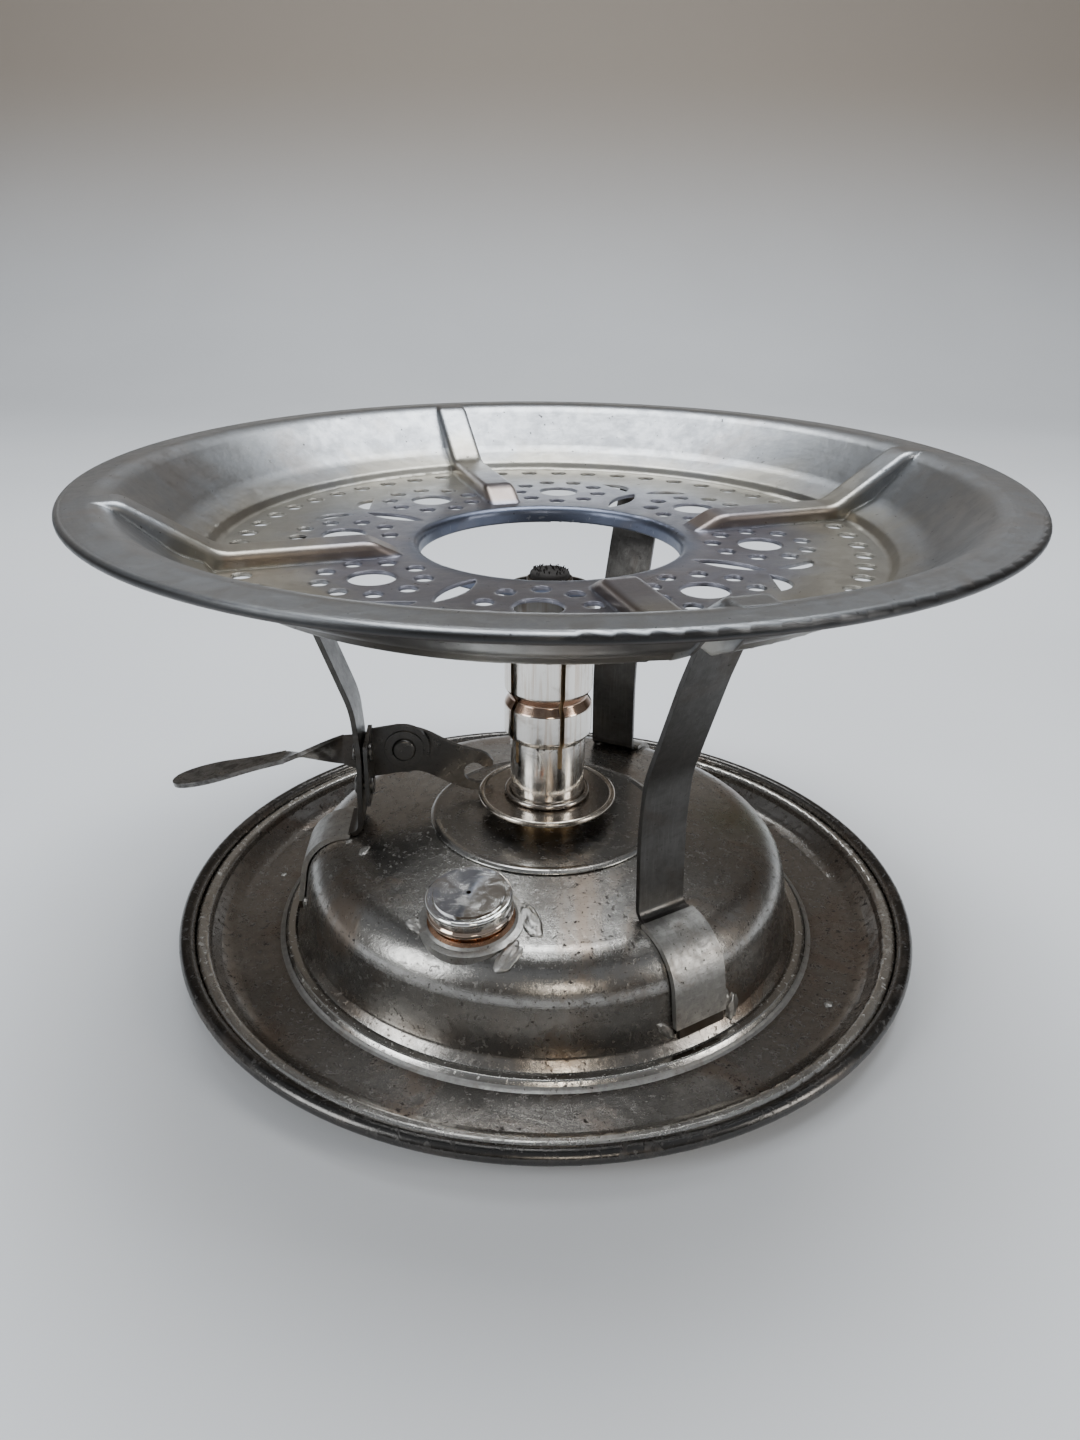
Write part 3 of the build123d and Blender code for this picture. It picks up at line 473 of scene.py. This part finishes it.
lumps = {
    "solderDropTankLeft": {"node": "tank_shell", "at": (-43.0, -15.0), "size": (1.9, 1.1, 0.45),
                           "seed": 1, "turn": 30},
    "solderDropTankLeftSmall": {"node": "tank_shell", "at": (-47.5, -10.5), "size": (0.9, 0.7, 0.35),
                                "seed": 2},
    "solderDropBack": {"node": "tank_shell", "at": (15.5, 45.0), "size": (1.5, 1.0, 0.45), "seed": 3},
    "solderDropTray": {"node": "drip_tray", "at": (64.5, -38.0), "size": (1.2, 0.9, 0.35), "seed": 4},
    "solderDropTraySmall": {"node": "drip_tray", "at": (-70.5, 12.0), "size": (0.9, 0.7, 0.3), "seed": 5},
    "solderRunFillerRight": {"node": "tank_shell", "at": (-3.2, -42.6), "size": (5.0, 2.2, 0.8),
                             "seed": 6, "turn": 62},
    "solderRunFillerFront": {"node": "tank_shell", "at": (-7.4, -52.4), "size": (3.8, 1.9, 0.8),
                             "seed": 7, "turn": 10},
    "solderRunFillerLeft": {"node": "tank_shell", "at": (-27.6, -43.4), "size": (3.0, 1.4, 0.55),
                            "seed": 8, "turn": 95},
}
for name, look in lumps.items():
    at, normal = surfaceBelow(look["node"], *look["at"], 60.0 if look["node"] == "tank_shell" else 20.0)
    if at is not None:
        solderLump(name, at, normal, look)


def wallPoint(nodeName, azimuth, z, reach=90.0):
    # point and normal where a level ray towards the axis meets a CAD piece
    a = math.radians(azimuth)
    out = Vector((math.cos(a), math.sin(a), 0))
    start = (out * reach + Vector((0, 0, z))) / perMetre
    hit, at, normal, _ = cad[nodeName].ray_cast(start, -out)
    return (at, normal) if hit else (None, None)


# ragged solder left beside each leg's foot
footLumps = [
    ("solderFootFrontRight", 310.6, 8.5, (2.6, 1.5, 0.8), 11, 80),
    ("solderFootFrontRightLow", 312.4, 5.2, (3.4, 1.9, 0.9), 12, 40),
    ("solderFootFrontLeft", 295.2, 7.0, (2.6, 1.1, 0.6), 13, 90),
    ("solderFootBackBlob", 57.8, 12.5, (2.6, 2.1, 1.2), 14, 20),
    ("solderFootBackLow", 74.6, 7.0, (2.6, 1.2, 0.7), 15, 85),
    ("solderFootLeftFront", 190.9, 8.0, (2.8, 1.2, 0.7), 16, 88),
    ("solderFootLeftBack", 175.2, 9.5, (2.2, 1.1, 0.6), 17, 70),
]
for name, azimuth, z, size, seed, turn in footLumps:
    at, normal = wallPoint("tank_shell", azimuth, z)
    if at is not None:
        solderLump(name, at, normal, {"size": size, "seed": seed, "turn": turn})
print("solder added")

# ---- wick: braided cotton, charred at the top, with a frayed crown
wickLook = {"fray": 54, "spread": 4.2, "lean": 0.35, "short": 0.2, "tall": 0.55, "thick": 0.14, "seed": 7}


def threadCurve(name, paths, thick, mat, body):
    data = bpy.data.curves.new(name, "CURVE")
    data.dimensions = "3D"
    data.bevel_depth = thick / perMetre
    data.bevel_resolution = 1
    for path in paths:
        spline = data.splines.new("POLY")
        spline.points.add(len(path) - 1)
        for point, place in zip(spline.points, path):
            point.co = (*[v / perMetre for v in place], 1)
    obj = bpy.data.objects.new(name, data)
    bpy.context.scene.collection.objects.link(obj)
    data.materials.append(mat)
    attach(obj, body)


m = startMetal("charredCotton")
t = m["tree"]
m["shader"].inputs["Metallic"].default_value = 0.0
fluff = grainOf(t, m["mm"], 2.6, 5, 0.7)
cotton = blendColour(t, fade(t, fluff, 0.35, 0.7), (0.42, 0.36, 0.27), (0.2, 0.16, 0.11))
char = fade(t, calc(t, "ADD", m["z"], calc(t, "MULTIPLY", fluff, 2.0)), 86.0, 90.4)
wickCloth = finishMetal(m, blendColour(t, char, cotton, (0.012, 0.01, 0.009)), 0.92, fluff, 0.5, 0.0003)
wear("wick", wickCloth)
wickTop = (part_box("wick")[1] * perMetre).z
random.seed(wickLook["seed"])
frayed = []
for i in range(wickLook["fray"]):
    a = random.uniform(0, 2 * math.pi)
    r = wickLook["spread"] * math.sqrt(random.random())
    lean = random.uniform(-wickLook["lean"], wickLook["lean"])
    tall = random.uniform(wickLook["short"], wickLook["tall"])
    x, y = r * math.cos(a), r * math.sin(a)
    frayed.append([(x, y, wickTop - 0.4), (x + lean * 0.4, y - lean * 0.3, wickTop + tall * 0.5),
                   (x + lean, y + lean * 0.6, wickTop + tall)])
threadCurve("wickFray", frayed, wickLook["thick"], wickCloth, "stand")
print("wick dressed")


# ---- plain pale sweep: floor that curves up into a backdrop
sweepLook = {"near": -2.2, "bend": 0.75, "curve": 0.5, "steps": 12, "top": 2.6, "half": 2.4}


def sweep():
    bend, curve, steps = sweepLook["bend"], sweepLook["curve"], sweepLook["steps"]
    profile = [(sweepLook["near"], 0.0), (bend, 0.0)]
    for step in range(1, steps + 1):
        a = math.radians(step * 90 / steps)
        profile.append((bend + curve * math.sin(a), curve - curve * math.cos(a)))
    profile.append((bend + curve, sweepLook["top"]))
    points = [(x, y, z) for y, z in profile for x in (-sweepLook["half"], sweepLook["half"])]
    faces = [(2 * i, 2 * i + 1, 2 * i + 3, 2 * i + 2) for i in range(len(profile) - 1)]
    data = bpy.data.meshes.new("studioSweep")
    data.from_pydata(points, [], faces)
    for face in data.polygons:
        face.use_smooth = True
    obj = bpy.data.objects.new("studioSweep", data)
    bpy.context.scene.collection.objects.link(obj)
    m = startMetal("palePaper")
    t = m["tree"]
    m["shader"].inputs["Metallic"].default_value = 0.0
    m["shader"].inputs["Specular IOR Level"].default_value = 0.25
    tooth = grainOf(t, m["mm"], 0.6, 3, 0.5)
    tone = grainOf(t, m["mm"], 0.004, 3, 0.5)
    paper = blendColour(t, fade(t, tone, 0.3, 0.7), (0.68, 0.70, 0.73), (0.64, 0.66, 0.69))
    paper = blendColour(t, fade(t, m["z"], 20.0, 330.0), paper, (0.36, 0.315, 0.27))
    obj.data.materials.append(finishMetal(m, paper, 0.6, tooth, 0.05, 0.0002))


sweep()


# ---- soft studio light
def softBox(name, place, aim, size, power, colour):
    lamp = bpy.data.lights.new(name, "AREA")
    lamp.shape = "RECTANGLE"
    lamp.size, lamp.size_y = size
    lamp.energy = power
    lamp.color = colour
    obj = bpy.data.objects.new(name, lamp)
    bpy.context.scene.collection.objects.link(obj)
    obj.location = place
    obj.rotation_euler = (Vector(aim) - Vector(place)).to_track_quat("-Z", "Y").to_euler()


softBox("skyBox", (0.05, 0.25, 1.0), (0, 0, 0.05), (0.8, 0.6), 15.0, (0.95, 0.98, 1.0))
softBox("leftWindow", (-0.9, -0.55, 0.5), (0, 0, 0.06), (0.45, 0.6), 7.0, (0.95, 0.98, 1.0))
softBox("rightFill", (0.85, -0.35, 0.38), (0, 0, 0.05), (0.25, 0.45), 3.2, (1.0, 0.97, 0.92))
softBox("frontStrip", (0.12, -0.95, 0.42), (0, 0, 0.03), (0.2, 0.16), 1.5, (1.0, 0.9, 0.76))

world = bpy.data.worlds.new("roomLight")
bpy.context.scene.world = world
world.use_nodes = True
w = world.node_tree
direction = w.nodes.new("ShaderNodeSeparateXYZ")
w.links.new(w.nodes.new("ShaderNodeTexCoord").outputs["Generated"], direction.inputs[0])
skyward = fade(w, direction.outputs[2], 0.05, 0.75)
frontal = fade(w, direction.outputs[1], 0.2, -0.8)
room = blendColour(w, frontal, (0.26, 0.24, 0.22), (0.10, 0.075, 0.055))
room = blendColour(w, skyward, room, (0.50, 0.52, 0.55))
feed(w, w.nodes["Background"].inputs["Color"], room)
w.nodes["Background"].inputs["Strength"].default_value = 0.6

# ---- camera: close in front, looking 25 degrees down; angles in radians
view = {
    "place": (0.0, -0.23349, 0.16195), "pitch": 0.435827, "yaw": -0.008027, "roll": 0.010043,
    "lens": 36.0, "sensor": 36.0, "nearest": 0.01,
}
pitch, yaw, roll = view["pitch"], view["yaw"], view["roll"]
forward = Vector((math.sin(yaw) * math.cos(pitch), math.cos(yaw) * math.cos(pitch), -math.sin(pitch)))
right = Vector((math.cos(yaw), -math.sin(yaw), 0))
up = right.cross(forward)
camX = right * math.cos(roll) + up * math.sin(roll)
camY = -right * math.sin(roll) + up * math.cos(roll)
lens = bpy.data.cameras.new("studioCamera")
lens.sensor_fit = "HORIZONTAL"
lens.sensor_width = view["sensor"]
lens.lens = view["lens"]
lens.clip_start = view["nearest"]
camera = bpy.data.objects.new("studioCamera", lens)
bpy.context.scene.collection.objects.link(camera)
axes = Matrix((camX, camY, -forward)).transposed()
camera.matrix_world = Matrix.Translation(view["place"]) @ axes.to_4x4()
bpy.context.scene.camera = camera
print("stage, light and camera placed")
